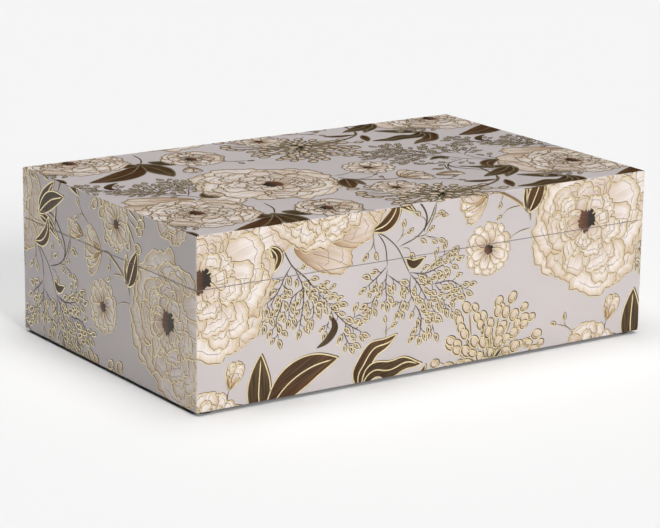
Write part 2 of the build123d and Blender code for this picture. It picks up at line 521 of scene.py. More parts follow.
# Each ring: petals, distance of their centres, length, width and ruffle, in shares of the radius
PEONY_RINGS = (
    (7, 0.60, 0.80, 0.86, 0.085),
    (7, 0.50, 0.72, 0.62, 0.085),
    (6, 0.40, 0.60, 0.52, 0.09),
    (7, 0.29, 0.46, 0.34, 0.10),
    (7, 0.19, 0.34, 0.24, 0.10),
)
# The same for a daisy, whose petals all have one ruffle
DAISY_RINGS = ((15, 0.60, 0.80, 0.44), (13, 0.45, 0.66, 0.38))
DAISY_RUFFLE = 0.06
STAMENS = 22
STAMEN_TURN = 0.2856


def draw_peony(draw, eye, middle, radius, seed, start=0.0, rings=PEONY_RINGS, eye_share=0.125):
    """A full flower: rings of ruffled petals from the outside in, then the dark eye."""
    rng = random.Random(seed)
    eye, middle = np.array(eye, float), np.array(middle, float)
    for ring, (count, reach, length, width, ruffle) in enumerate(rings):
        centre = middle + (eye - middle) * ring / (len(rings) - 1)
        turns = [start + 2 * math.pi * (k + 0.5 * (ring % 2)) / count for k in range(count)]
        rng.shuffle(turns)
        for turn in turns:
            angle = turn + rng.uniform(-0.22, 0.22)
            size = radius * rng.uniform(0.84, 1.14)
            place = centre + heading(angle) * radius * reach * rng.uniform(0.88, 1.08)
            lean = angle + rng.uniform(-0.4, 0.4)
            wide = width * size * rng.uniform(0.8, 1.25)
            draw_petal(draw, place, lean, length * size, wide, ruffle, rng)
    draw_eye(draw, eye, radius * eye_share, rng)


def draw_daisy(draw, centre, radius, seed):
    """Two rings of narrow round petals about a small dark middle."""
    rng = random.Random(seed)
    centre = np.array(centre, float)
    for count, reach, length, width in DAISY_RINGS:
        turns = [2 * math.pi * k / count for k in range(count)]
        rng.shuffle(turns)
        for turn in turns:
            angle = turn + rng.uniform(-0.1, 0.1)
            size = radius * rng.uniform(0.92, 1.1)
            out = heading(angle)
            place = centre + out * radius * reach
            outline, _ = petal_outline(
                place, angle, length * size, width * size, DAISY_RUFFLE, rng, 48
            )
            base = place - out * length * size / 2
            tip = place + out * length * size / 2
            draw.shape(outline, "petal", base, tip, place, **DAISY_RIM)
            vein = curve([base + out * radius * 0.16, tip - out * radius * 0.3])
            draw.line(vein, **DAISY_VEIN)
    for k in range(STAMENS):
        aim = heading(k * STAMEN_TURN + rng.uniform(-0.08, 0.08))
        start, end = centre + aim * radius * 0.15, centre + aim * radius * rng.uniform(0.3, 0.45)
        draw.line(curve([start, end], 0.8), **STAMEN)
    phi = around(22)
    outline = centre + radius * 0.19 * (1 + 0.1 * np.sin(6 * phi))[:, None] * oval(phi, 1, 1)
    across = heading(0.6) * radius * 0.2
    draw.shape(outline, "eye", centre - across, centre + across, centre, **EYE_RIM)


def pointed_outline(middle, left, right):
    """The outline round a middle line, at these distances to its left and right."""
    side = normals_of(middle)
    return np.vstack([middle + side * left[:, None], (middle - side * right[:, None])[-2:0:-1]])


def draw_leaf(
    draw, spine, width, fullness=0.85, wave=0.0, waves=3, paint="leaf", midrib=True, outline_foil=0.85
):
    """A pointed leaf along a bent spine, with a foil outline and midrib."""
    middle = curve(spine)
    share = np.linspace(0, 1, len(middle))
    half = width / 2 * np.sin(np.pi * share**fullness) ** 0.85
    ripple = 1 + wave * np.sin(2 * np.pi * waves * share)
    outline = pointed_outline(middle, half * ripple, half * (2 - ripple))
    draw.shape(outline, paint, spine[0], spine[-1], ink=0.4, foil=outline_foil)
    if midrib:
        sway = 0.12 * width * wave * 4 * np.sin(2 * np.pi * waves * share)
        rib = middle + normals_of(middle) * sway[:, None]
        draw.line(rib[: int(len(rib) * 0.93)], ink=0.0, foil=0.85, taper=4.0)


def draw_bud(draw, base, angle, length, rng):
    """A teardrop bud: a foil outline round a small dark seed."""
    base = np.array(base, float)
    tip = base + heading(angle) * length
    bend = sideways(angle) * length * rng.uniform(-0.12, 0.12)
    middle = bowed(base, tip, bend, 0.9)
    share = np.linspace(0, 1, len(middle))
    half = 0.25 * length * np.sin(np.pi * share**0.8) ** 0.8
    outline = pointed_outline(middle, half, half)
    centre = outline.mean(axis=0)
    draw.shape(outline, "bud", base, tip, centre, **BUD_RIM)
    seed = centre + (outline - centre) * (0.4, 0.4)
    draw.fill(seed, "seed", base, tip, centre)


def draw_stem(draw, points, ink=0.6, foil=0.0, taper=6.0, tone="ink"):
    draw.line(curve(points), ink=ink, foil=foil, taper=taper, tone=tone)


def draw_spray(draw, stems, seed, spacing=4.6, bud=6.0, ink=0.75):
    """Branching stems with buds on short bent twigs, left and right in turn."""
    rng = random.Random(seed)
    for points in stems:
        draw_stem(draw, points, ink)
    for points in stems:
        line = curve(points)
        travelled = travelled_along(line)
        side = 1 if rng.random() < 0.5 else -1
        place = spacing * rng.uniform(0.9, 1.3)
        while place < travelled[-1] - 2:
            index = int(np.searchsorted(travelled, place))
            ahead = line[min(index + 1, len(line) - 1)] - line[index - 1]
            angle = math.atan2(ahead[1], ahead[0])
            turn = angle + side * rng.uniform(0.7, 1.15)
            reach = rng.uniform(2.4, 4.6)
            start, end = line[index], line[index] + heading(turn) * reach
            draw.line(bowed(start, end, heading(angle) * 0.6, 0.8), **TWIG)
            draw_bud(draw, end, turn - side * rng.uniform(0.1, 0.5), bud * rng.uniform(0.85, 1.15), rng)
            side = -side
            place += spacing * rng.uniform(0.55, 0.95)
        ahead = line[-1] - line[-3]
        draw_bud(draw, line[-1], math.atan2(ahead[1], ahead[0]), bud * 1.1, rng)


def draw_twigs(draw, stems, seed, bud=6.0):
    """Thin bent stems, each with one bud at its end."""
    rng = random.Random(seed)
    for points in stems:
        draw_stem(draw, points, ink=0.6, foil=0.3)
        ahead = np.subtract(points[-1], points[-2])
        draw_bud(draw, points[-1], math.atan2(ahead[1], ahead[0]), bud * rng.uniform(0.9, 1.1), rng)


def draw_berries(draw, root, reaches, seed, size=2.75):
    """A ball of berries on stalks that spread from one root, the longer stalks behind."""
    rng = random.Random(seed)
    root = np.array(root, float)
    phi = around(18)
    for angle, length in sorted(reaches, key=lambda reach: -reach[1]):
        aim = math.radians(angle + rng.uniform(-5, 5))
        end = root + heading(aim) * length * rng.uniform(0.93, 1.07)
        bend = sideways(aim) * rng.uniform(-0.12, 0.12) * length
        draw.line(bowed(root, end, bend), **STALK)
        lean = heading(aim + rng.uniform(-0.5, 0.5))
        grow = size * rng.uniform(0.85, 1.2)
        centre = end + lean * grow
        outline = centre + oval(phi, 1.32 * grow, grow) @ np.array([lean, (-lean[1], lean[0])])
        draw.shape(outline, "berry", centre - lean * grow, centre + lean * grow, centre, **BERRY_RIM)
        draw.line(centre + (outline[-2:-12:-1] - centre) * 0.6, **BERRY_SHADE)


def draw_rosebud(draw, base, angle, length, seed, petals=4, spread=0.17, width=0.4):
    """A closed flower on its stem: overlapping petals held by pointed sepals."""
    rng = random.Random(seed)
    base = np.array(base, float)
    leans = [angle + (k - (petals - 1) / 2) * spread for k in range(petals)]
    rng.shuffle(leans)
    for lean in leans:
        reach = length * rng.uniform(0.88, 1.02)
        draw_petal(draw, base + heading(lean) * reach / 2, lean, reach, length * width, 0.05, rng)
    for side in (-1, 1):
        tip = base + heading(angle + side * 0.5) * length * 0.5
        draw_leaf(draw, [base, (base + tip) / 2 + heading(angle) * 0.7, tip], length * 0.14,
                  paint="sepal", midrib=False, outline_foil=0.4)


# ---- One repeat of the printed paper ---------------------------------------------------------

SPRAY_ONE_STEM = ((61, 96), (68, 84), (74, 78.5), (80, 73))
SPRAY_ONE = (
    ((76, 77), (80, 73), (98, 52), (109, 41), (122, 33)),
    ((68, 84), (63, 77), (57, 67), (46, 60)),
    ((70, 82), (76, 70), (77, 60), (74, 42)),
    ((64, 76), (61, 60), (57, 50), (59, 38)),
    ((80, 73), (86, 66), (97, 61)),
    ((88, 63), (92, 57), (104, 54)),
    ((76, 68), (68, 62), (66, 50)),
    ((98, 52), (96, 44), (94, 38)),
    ((57, 67), (51, 57), (49, 49)),
    ((109, 41), (114, 43), (121, 46)),
    ((109, 41), (108, 34), (112, 26)),
    ((76, 70), (84, 57), (84, 47)),
)

SPRAY_TWO_STEMS = (
    ((128, 98), (138, 93), (147, 85), (153, 75), (157, 67)),
    ((149, 85), (163, 90), (172, 99), (177, 110)),
    ((132, 96), (138, 87), (140, 74)),
)
SPRAY_TWO_TWIGS = (
    ((129, 96), (129, 89), (125, 84)),
    ((129, 91), (130, 87), (131, 84)),
    ((147, 88), (151, 92), (152, 97)),
    ((149, 90), (152, 92), (155, 93.5)),
    ((163, 90), (168, 90), (172, 92.5)),
    ((160, 90), (164, 89.5), (166, 88)),
    ((168, 90), (172, 88.5), (175, 86.5)),
    ((171, 89), (176, 87.5), (180, 86)),
    ((173, 101), (176, 103), (179, 103)),
    ((170, 98), (168, 101), (165, 103)),
    ((152, 84), (156, 83), (158, 80)),
)
SPRAY_TWO = (
    ((157, 67), (164, 59), (173, 45), (180, 36)),
    ((140, 72), (139, 62), (140, 50)),
    ((140, 74), (133, 68), (124, 62)),
    ((140, 68), (147, 63), (152, 59)),
    ((139, 60), (131, 55), (128, 48)),
    ((157, 67), (170, 65), (182, 68), (194, 71)),
    ((163, 60), (177, 57), (190, 57), (203, 49)),
    ((158, 65), (158, 55), (162, 46), (167, 36), (166, 24)),
    ((170, 52), (180, 46), (194, 37)),
    ((166, 40), (174, 34), (178, 24)),
    ((177, 57), (184, 50), (196, 46)),
    ((158, 55), (152, 50), (149, 43)),
    ((170, 65), (178, 72), (190, 77)),
)

BUD_STEM = ((217, 109), (226, 111), (241, 104), (252, 95), (254, 89))
THICK_STEM = ((156, 112), (158, 124), (163, 142), (175, 153), (198, 161), (216, 164))
SMALL_SPRAYS = (
    ((92, 147), (104, 154), (118, 155), (130, 152)),
    ((104, 154), (112, 147), (124, 143)),
)
SMALL_TWIGS = (
    ((203, 124), (194, 130), (190, 135)),
    ((196, 129), (192, 129), (188, 127)),
    ((170, 92), (176, 103), (178, 112)),
    ((174, 98), (178, 101), (182, 101)),
)

# Angle in degrees and length of each berry's stalk
BERRY_REACHES = [
    (155, 34), (141, 27), (128, 39), (111, 45), (101, 39), (86, 42), (72, 36), (67, 48), (56, 47),
    (61, 33), (45, 40), (36, 44), (24, 39), (11, 41), (-2, 38), (170, 40), (184, 34),
    (-85, 36), (-73, 41), (-62, 38), (-52, 48), (-44, 53), (-37, 47), (-30, 53), (-21, 49), (-13, 42),
]
BERRY_REACHES += [(20 * k - 72, 27) for k in range(14)]
BERRY_REACHES += [(24 * k, 20) for k in range(15)]
BERRY_REACHES += [(15 * k + 5, 33) for k in range(10)]
BERRY_REACHES += [(33 * k, 14) for k in range(11)]
BERRY_REACHES += [(60 * k + 20, 7) for k in range(6)]
BERRY_REACHES += [(120 * k, 2) for k in range(3)]


def draw_paper():
    """Everything on one repeat. Shapes may reach past its edges, onto the next repeat."""
    draw = Drawing()
    leaf, stem, twigs = (partial(drawer, draw) for drawer in (draw_leaf, draw_stem, draw_twigs))
    # Petals and leaves that lie behind the flowers
    draw_petal(draw, np.array([119.0, 121.0]), 0.05, 42, 48, 0.06, random.Random(53))
    draw_petal(draw, np.array([57.0, 105.0]), 3.35, 34, 28, 0.06, random.Random(54))
    stem(THICK_STEM, ink=2.2, foil=0.6)
    leaf([(351, 98), (356, 92), (355, 86), (351, 81)], 7.5, waves=1)
    leaf([(252, 95), (251, 104), (251, 116)], 6)
    leaf([(253, 95), (258, 105), (265, 121)], 12)
    leaf([(134, 118), (148, 115), (162, 106)], 7)
    leaf([(190, 141), (180, 146), (168, 147)], 5, midrib=False)
    leaf([(164, -14), (168, -4), (172, 5)], 6, midrib=False)
    leaf([(121, -3), (132, -10), (148, -22)], 9)
    leaf([(128, 98), (139, 101), (146, 108), (148, 118)], 9.5, fullness=1.0)
    leaf([(135, 118), (142, 129), (157, 144)], 10)
    leaf([(135, 119), (151, 130), (170, 136)], 12)
    leaf([(40, 150), (30, 160), (14, 163)], 12)
    leaf([(52, 160), (49, 168), (42, 176)], 11)
    stem([(132, 119), (152, 121), (164, 112), (170, 102), (168, 92)], ink=1.3)
    # The leaf pair and the wavy leaves
    stem([(37, -40), (40, -24), (50, -8)], ink=1.1)
    leaf([(49, -14), (46, 2), (45.5, 16), (47, 31)], 17, fullness=0.9, wave=0.06, waves=1)
    leaf([(50, -9), (66, 8), (84, 17), (104, 20)], 20, fullness=0.95)
    leaf([(50, -9), (62, -14), (78, -30)], 13)
    leaf([(122, -5), (121, 10), (131, 19.5), (149, 28.5)], 12, wave=0.25, waves=2.0)
    leaf([(122, -3), (134, 7), (150, 7), (169, 6)], 12, wave=0.35, waves=1.6)
    stem([(96, -34), (108, -16), (121, 1)], ink=1.1)
    stem([(139, 26), (140, 30), (139, 33)], ink=0.5)
    twigs([((139, 30), (140, 33), (139.5, 37)), ((139, 29), (141, 32), (144, 33.5))], 21, 5.0)
    # The two sprays
    stem(SPRAY_ONE_STEM, ink=0.9)
    twigs([((71, 81), (73.5, 81), (75, 81.5))], 22, 5.0)
    draw_spray(draw, SPRAY_ONE, 4)
    leaf([(98.5, 47), (100.5, 39), (95, 32), (87, 28)], 5, midrib=False, outline_foil=0.0)
    for points in SPRAY_TWO_STEMS:
        stem(points, ink=0.8)
    twigs(SPRAY_TWO_TWIGS, 23, 5.5)
    draw_spray(draw, SPRAY_TWO, 9)
    leaf([(155, 77), (161, 72.5), (170, 76)], 6, midrib=False)
    # Berries
    stem([(203, -30), (214, -20), (226, -8)], ink=1.2, foil=0.6)
    draw_berries(draw, (222, -5), BERRY_REACHES, 5)
    # Small sprigs
    twigs([((293, 7), (287, 12), (278, 15)), ((288, 11), (285.5, 14), (285.5, 17))], 31, 5.5)
    stem(BUD_STEM, ink=2.2, foil=0.6, taper=12.0, tone="sepia")
    twigs([((246, 100), (236, 99), (230, 95)), ((232, 112), (230, 107), (229, 104))], 32, 5.0)
    twigs([((254, 84), (246, 83), (238, 80))], 33, 4.0)
    draw_spray(draw, SMALL_SPRAYS, 34)
    twigs(SMALL_TWIGS, 35, 5.0)
    # Flowers
    draw_peony(draw, (10, -9), (9, -10), 22, 41, rings=PEONY_RINGS[::2], eye_share=0.2)
    stem([(21, 3), (22, 8), (24, 13)], ink=0.9)
    draw_rosebud(draw, (24, 12), 1.24, 18.5, 42, width=0.36)
    stem([(192, 116), (200, 115), (208, 112)], ink=0.9)
    draw_rosebud(draw, (194, 116), 3.05, 20, 49, petals=3)
    draw_rosebud(draw, (218, 110), 3.25, 23, 43, petals=6, spread=0.3)
    draw_daisy(draw, (220, 74), 18, 45)
    draw_daisy(draw, (238, 132), 17, 46)
    draw_petal(draw, np.array([92.0, 87.5]), -0.32, 46, 21, 0.06, random.Random(51))
    draw_petal(draw, np.array([112.0, 101.0]), 0.1, 36, 24, 0.06, random.Random(52))
    draw_peony(draw, (87, 126), (88, 128), 38, 47, start=0.4)
    draw_peony(draw, (301, 83), (304, 79), 52, 48, start=0.1)
    return draw


# ---- Turning the drawing into meshes ---------------------------------------------------------

PAINTS = ("petal", "leaf", "bud", "berry", "seed", "eye", "sepal")
ROUNDED_PAINTS = ("petal", "berry")
INKS = ("ink", "sepia")
PAINT_LIFT = 0.05
INK_LIFT = 0.09
FOIL_LIFT = 0.11
FOIL_SHIFT = np.array([-0.9, -0.6])
# The inner loop of a rounded fill, as a share of its outline
INNER_LOOP = 0.70
# The width of a tapered line's ends, as a share of its full width
END_WIDTH = 0.25
MERGE = 0.001


def topmost_fill(fills, spots):
    """The number of the last fill that covers each point, or -1."""
    owner = np.full(len(spots), -1)
    for number in range(len(fills) - 1, -1, -1):
        outline = fills[number][0]
        low, high = outline.min(axis=0), outline.max(axis=0)
        free = np.where((owner < 0) & (spots >= low).all(axis=1) & (spots <= high).all(axis=1))[0]
        if len(free):
            owner[free[inside(spots[free], outline)]] = number
    return owner


def clusters(fills):
    """Groups of fills whose boxes touch, so that each group can be meshed alone."""
    boxes = [(f[0].min(axis=0), f[0].max(axis=0)) for f in fills]
    left, groups = set(range(len(fills))), []
    while left:
        todo, group = [left.pop()], []
        while todo:
            here = todo.pop()
            group.append(here)
            low, high = boxes[here]
            touching = [k for k in left if (boxes[k][0] <= high).all() and (boxes[k][1] >= low).all()]
            left.difference_update(touching)
            todo.extend(touching)
        groups.append(sorted(group))
    return groups


def triangles_of(fills):
    """Triangles whose edges follow every outline, and the inner loop of each rounded fill."""
    points, loops = [], []
    for outline, paint, _, _, middle in fills:
        rings = [outline]
        if paint in ROUNDED_PAINTS:
            rings.append((middle + (outline - middle) * INNER_LOOP)[::2])
        for ring in rings:
            loops.append(list(range(len(points), len(points) + len(ring))))
            points.extend(ring)
    points = np.array(points)
    middle = points.mean(axis=0)
    flat = [Vector(spot) for spot in points - middle]
    verts, _, faces, *_ = delaunay_2d_cdt(flat, [], loops, 0, MERGE, False)
    return np.array([tuple(v) for v in verts]) + middle, np.array(faces)


def mesh_fills(draw):
    """One flat mesh in which each triangle belongs to the topmost fill over it."""
    tiled = draw.tiled()
    fills = [fill for _, _, fill in tiled]
    parts, owners = [], []
    for group in clusters(fills):
        verts, faces = triangles_of([fills[k] for k in group])
        owner = topmost_fill([fills[k] for k in group], verts[faces].mean(axis=1))
        parts.append((verts, faces))
        owners.append(np.array(group + [-1])[owner])
    spots, faces = gathered(parts)
    owner = np.concatenate(owners)
    kept = np.array([mine for _, mine, _ in tiled] + [False])[owner]
    faces = faces[kept]
    owner = owner[kept]
    corners = spots[faces]
    shape = np.zeros((len(faces), 3, 2))
    edge = np.ones((len(faces), 3, 2))
    paints = np.zeros(len(faces), int)
    rng = random.Random(7)
    for number, (outline, paint, base, tip, middle) in enumerate(fills):
        own = rng.random()
        mine = np.where(owner == number)[0]
        if not len(mine):
            continue
        axis = tip - base
        reach = max(float(np.hypot(*axis)), 1e-6)
        along = (corners[mine] - base) @ axis / reach**2
        across = (corners[mine] - base) @ np.array([-axis[1], axis[0]]) / reach**2
        shape[mine] = np.stack([across, along], axis=-1)
        edge[mine, :, 1] = own
        paints[mine] = PAINTS.index(paint)
        if paint in ROUNDED_PAINTS:
            edge[mine, :, 0] = depth_inside(corners[mine], outline, middle)
    return spots, faces, shape, edge, paints


def depth_inside(spots, outline, middle):
    """0 on an outline that is seen whole from its middle, rising to 1 at the inner loop."""
    away = outline - middle
    turns = np.arctan2(away[:, 1], away[:, 0])
    order = np.argsort(turns)
    radii = np.hypot(*away.T)
    spot = spots - middle
    here = np.arctan2(spot[..., 1], spot[..., 0])
    limit = np.interp(here, turns[order], radii[order], period=2 * np.pi)
    share = np.hypot(spot[..., 0], spot[..., 1]) / limit
    return np.clip((1 - share) / (1 - INNER_LOOP), 0, 1)


def ribbon(line, width, taper, lift, close):
    """A flat strip along a line, at one height over the sheet."""
    travelled = travelled_along(line)
    left = travelled[-1] - travelled
    full = np.ones(len(line))
    if taper and not close:
        full = np.clip(END_WIDTH + np.minimum(travelled, left) / taper, 0, 1)
    reach = normals_of(line) * (width / 2 * full)[:, None]
    spots = np.stack([line - reach, line + reach], axis=1).reshape(-1, 2)
    start = 2 * np.arange(len(line) - 1)
    quads = np.stack([start + 1, start, start + 2, start + 3], axis=1)
    return np.column_stack([spots, np.full(len(spots), lift)]), quads


def mesh_lines(draw):
    """The ink strips and the foil strips. The foil plate sits a little off the print."""
    ink_parts, foil_parts, tones = [], [], []
    tiled = draw.tiled()
    numbers = np.array([number for number, _, _ in tiled])
    for points, ink, foil, taper, tone, order in draw.lines:
        covers = [fill[0] for _, _, fill in tiled[np.searchsorted(numbers, order):]]
        for run in visible_runs(points, covers):
            close = len(run) == len(points) and np.allclose(run[0], run[-1])
            if ink:
                ink_parts.append(ribbon(run, ink, taper, INK_LIFT, close))
                tones += [INKS.index(tone)] * len(ink_parts[-1][1])
            if foil:
                foil_parts.append(ribbon(run + FOIL_SHIFT, foil, taper, FOIL_LIFT, close))
    return (*gathered(ink_parts), np.array(tones)), gathered(foil_parts)


def gathered(parts):
    verts, faces, count = [], [], 0
    for spots, quads in parts:
        verts.append(spots)
        faces.append(quads + count)
        count += len(spots)
    return np.vstack(verts), np.vstack(faces)


# ---- Laying the paper on the box -------------------------------------------------------------

EDGE_RADIUS = 0.9
# How far the print goes on over a rounded edge, and where it is cut across to bend there
WRAP = 0.62
WRAP_CUTS = (0.0, 0.35)
# At a corner the drop stops growing here, as a share of the wrap squared
CORNER_WRAP = 1.6
EDGE_MARGIN = 0.08
# How far shapes may reach past their own repeat
PAPER_REACH = 60.0
# Where each face's window begins on the paper. The back and right only go on with the same paper
WINDOWS = {
    "front": (0, 0), "back": (148, 20), "left": (111.5, 33.5), "right": (62, 60), "top": (118, 177),
}


class Face:
    """One flat outer face: where its corner is, its two directions, and its paper window."""

    def __init__(self, corner, right, up, size, window, turned=False):
        self.corner = Vector(corner)
        self.right, self.up = Vector(right), Vector(up)
        self.out = self.right.cross(self.up)
        self.size = size
        self.window = window
        self.turned = turned

    def on_face(self, spots):
        """From the paper's own millimetres to millimetres on this face."""
        moved = spots - np.array(self.window)
        return -moved if self.turned else moved

    def on_paper(self, spots):
        return (-spots if self.turned else spots) + np.array(self.window)


def faces_of_box():
    """The five printed faces, seen from outside, each with its own window of the paper."""
    low, high = SHELL_LOW, SHELL_HIGH
    length, depth, height = (v / MM for v in SHELL)
    places = {
        "front": (low, (1, 0, 0), (0, 0, 1), (length, height)),
        "back": ((high.x, high.y, low.z), (-1, 0, 0), (0, 0, 1), (length, height)),
        "left": ((low.x, high.y, low.z), (0, -1, 0), (0, 0, 1), (depth, height)),
        "right": ((high.x, low.y, low.z), (0, 1, 0), (0, 0, 1), (depth, height)),
        "top": ((low.x, low.y, high.z), (1, 0, 0), (0, 1, 0), (length, depth)),
    }
    return {key: Face(*place, WINDOWS[key], key == "top") for key, place in places.items()}


def repeats_over(face, low, high):
    """The shifts of the paper's repeat that can reach a rectangle on a face."""
    corners = face.on_paper(np.array([low, high], float))
    start = np.floor((corners.min(axis=0) - PAPER_REACH) / REPEAT).astype(int)
    stop = np.ceil((corners.max(axis=0) + PAPER_REACH) / REPEAT).astype(int)
    return [
        np.array([i * REPEAT[0], j * REPEAT[1]])
        for i in range(start[0], stop[0] + 1)
        for j in range(start[1], stop[1] + 1)
    ]


def rounded_height(spots, low, high):
    """How far the surface drops over the rounded edges round a rectangle's flat middle."""
    past = np.maximum(np.maximum(low - spots, spots - high), 0)
    squared = np.minimum((past**2).sum(axis=1), WRAP**2 * CORNER_WRAP)
    return EDGE_RADIUS - np.sqrt(EDGE_RADIUS**2 - squared)


class Patch:
    """Plain arrays of a mesh: points, corner numbers, corners per face, slots and UV layers."""

    def __init__(self, points, corners, sizes, slots, layers):
        self.points, self.corners, self.sizes = points, corners, sizes
        self.slots, self.layers = slots, layers

    def to_mesh(self, name):
        data = bpy.data.meshes.new(name)
        data.vertices.add(len(self.points))
        data.vertices.foreach_set("co", self.points.astype(np.float32).ravel())
        data.loops.add(len(self.corners))
        data.loops.foreach_set("vertex_index", self.corners.astype(np.int32))
        data.polygons.add(len(self.sizes))
        starts = np.concatenate([[0], np.cumsum(self.sizes)[:-1]])
        data.polygons.foreach_set("loop_start", starts.astype(np.int32))
        data.polygons.foreach_set("material_index", self.slots.astype(np.int32))
        data.update(calc_edges=True)
        for key, values in self.layers.items():
            layer = data.uv_layers.new(name=key)
            layer.uv.foreach_set("vector", values.astype(np.float32).ravel())
        return data


def joined(patches):
    """One patch out of several."""
    starts = np.cumsum([0] + [len(patch.points) for patch in patches])
    return Patch(
        np.vstack([patch.points for patch in patches]),
        np.concatenate([patch.corners + start for patch, start in zip(patches, starts)]),
        np.concatenate([patch.sizes for patch in patches]),
        np.concatenate([patch.slots for patch in patches]),
        {key: np.vstack([patch.layers[key] for patch in patches]) for key in patches[0].layers},
    )


def read(items, field, width=1, kind=np.int32):
    values = np.zeros(len(items) * width, kind)
    items.foreach_get(field, values)
    return values


def patch_of(data, keys):
    """The arrays of a Blender mesh."""
    return Patch(
        read(data.vertices, "co", 3, np.float32).reshape(-1, 3).astype(float),
        read(data.loops, "vertex_index"),
        read(data.polygons, "loop_total"),
        read(data.polygons, "material_index"),
        {key: read(data.uv_layers[key].uv, "vector", 2, np.float32).reshape(-1, 2) for key in keys},
    )


def chosen_patch(moved, height, faces, slots, layers, chosen):
    used, back = np.unique(faces[chosen], return_inverse=True)
    return Patch(
        np.column_stack([moved[used], height[used]]),
        back.ravel(),
        np.full(len(chosen), faces.shape[1]),
        slots[chosen],
        {key: values[chosen].reshape(-1, 2) for key, values in layers.items()},
    )


def lay(name, body, face, span, rounded, mesh, slot_names, materials):
    """Copies a mesh of the paper over one sheet, trims it, and wraps it over the edges.

    span is the sheet's (low, high) on the face in millimetres. rounded says, for the left,
    bottom, right and top edges, whether the edge is rounded or stops at the seam."""
    verts, faces, layers, slots = mesh
    low, high = (np.array(corner, float) for corner in span)
    rounded = np.array(rounded, float)
    flat_low = low + np.where(rounded[:2], EDGE_RADIUS, EDGE_MARGIN)
    flat_high = high - np.where(rounded[2:], EDGE_RADIUS, EDGE_MARGIN)
    cut_low = flat_low - WRAP * rounded[:2]
    cut_high = flat_high + WRAP * rounded[2:]
    whole, border = [], []
    for shift in repeats_over(face, low, high):
        moved = face.on_face(verts[:, :2] + shift)
        corners = moved[faces]
        lowest, highest = corners.min(axis=1), corners.max(axis=1)
        near = (highest > cut_low).all(axis=1) & (lowest < cut_high).all(axis=1)
        flat = near & (lowest >= flat_low).all(axis=1) & (highest <= flat_high).all(axis=1)
        for chosen, group in ((flat, whole), (near & ~flat, border)):
            if chosen.any():
                group.append(chosen_patch(moved, verts[:, 2], faces, slots, layers, np.where(chosen)[0]))
    if border:
        whole.append(trimmed(joined(border), cut_low, cut_high, flat_low, flat_high))
    patch = joined(whole)
    if not len(patch.sizes):
        return
    flat_places = patch.points[:, :2].copy()
    patch.layers["OFBake"] = ((flat_places - low) / (high - low))[patch.corners]
    up = patch.points[:, 2] - rounded_height(flat_places, flat_low, flat_high)
    axes = np.array([face.right, face.up, face.out])
    patch.points = np.array(face.corner) + np.column_stack([flat_places, up]) @ axes * MM
    data = patch.to_mesh(name)
    data.polygons.foreach_set("use_smooth", np.zeros(len(data.polygons), bool))
    for key in slot_names:
        data.materials.append(materials[key])
    piece = added(name, data)
    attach(piece, body)


def trimmed(patch, cut_low, cut_high, flat_low, flat_high):
    """Cuts a patch to its rectangle, and across it where the rounded edges begin."""
    data = patch.to_mesh("border")
    bm = bmesh.new()
    bm.from_mesh(data)
    for axis in (0, 1):
        for place, outward in ((cut_low[axis], -1), (cut_high[axis], 1)):
            slice_at(bm, axis, place, outward, True)
        for edge, outward in ((flat_low[axis], -1), (flat_high[axis], 1)):
            for past in WRAP_CUTS:
                slice_at(bm, axis, edge + outward * past, outward, False)
    bm.to_mesh(data)
    bm.free()
    result = patch_of(data, patch.layers)
    bpy.data.meshes.remove(data)
    return result


def slice_at(bm, axis, place, outward, remove):
    point, normal = [0, 0, 0], [0, 0, 0]
    point[axis], normal[axis] = place, outward
    geometry = bm.verts[:] + bm.edges[:] + bm.faces[:]
    bmesh.ops.bisect_plane(
        bm, geom=geometry, plane_co=point, plane_no=normal, clear_outer=remove, dist=1e-5
    )


def sheet_spans():
    """For each printed sheet: its face, body, rectangle on the face, and rounded edges."""
    faces = faces_of_box()
    base_edge = (BASE_EDGE_Z - SHELL_LOW.z) / MM
    lid_edge = (LID_EDGE_Z - SHELL_LOW.z) / MM
    spans = {}
    for side in SIDES:
        face = faces[side]
        length, height = face.size
        spans[f"base_print_{side}"] = (face, "base", ((0, 0), (length, base_edge)), (1, 1, 1, 0))
        spans[f"lid_print_{side}"] = (face, "lid", ((0, lid_edge), (length, height)), (1, 0, 1, 1))
    top = faces["top"]
    spans["lid_print_top"] = (top, "lid", ((0, 0), top.size), (1, 1, 1, 1))
    return spans


def print_the_box(materials):
    """The paints, then the ink, then the foil, on each of the nine sheets."""
    draw = draw_paper()
    spots, tris, shape, edge, paints = mesh_fills(draw)
    lifted = np.column_stack([spots, np.full(len(spots), PAINT_LIFT)])
    fills = (lifted, tris, {"shape": shape, "edge": edge}, paints)
    (ink_verts, ink_faces, tones), (foil_verts, foil_faces) = mesh_lines(draw)
    ink = (ink_verts, ink_faces, {}, tones)
    foil = (foil_verts, foil_faces, {}, np.zeros(len(foil_faces), int))
    layers = (("paint", fills, PAINTS), ("ink", ink, INKS), ("foil", foil, ("foil",)))
    for sheet, (face, body, span, rounded) in sheet_spans().items():
        for kind, mesh, slot_names in layers:
            lay(f"{sheet}_{kind}", body, face, span, rounded, mesh, slot_names, materials)


# ---- Finishing the CAD pieces ----------------------------------------------------------------


# Words in the names of the pieces that each material goes on
PIECES_OF = {
    "ground": ("_print_",),
    "board": ("_panel", "_rim"),
    "velvet": ("_lining_",),
    "brass": ("_leaf", "_pin"),
    "screw": ("screws",),
    "rubber": ("foot_",),
}


def finish_cad_pieces(materials):
    for key, words in PIECES_OF.items():
        for name in NODES:
            if any(word in name for word in words):
                data = NODES[name].data
                data.materials.clear()
                data.materials.append(materials[key])


LINER = (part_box("base_lining_front")[1].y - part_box("base_lining_front")[0].y) / MM
LINING_RIM = 1.2
# The rim's radius is at most this share of a lining's thickness
RIM_SHARE = 0.8
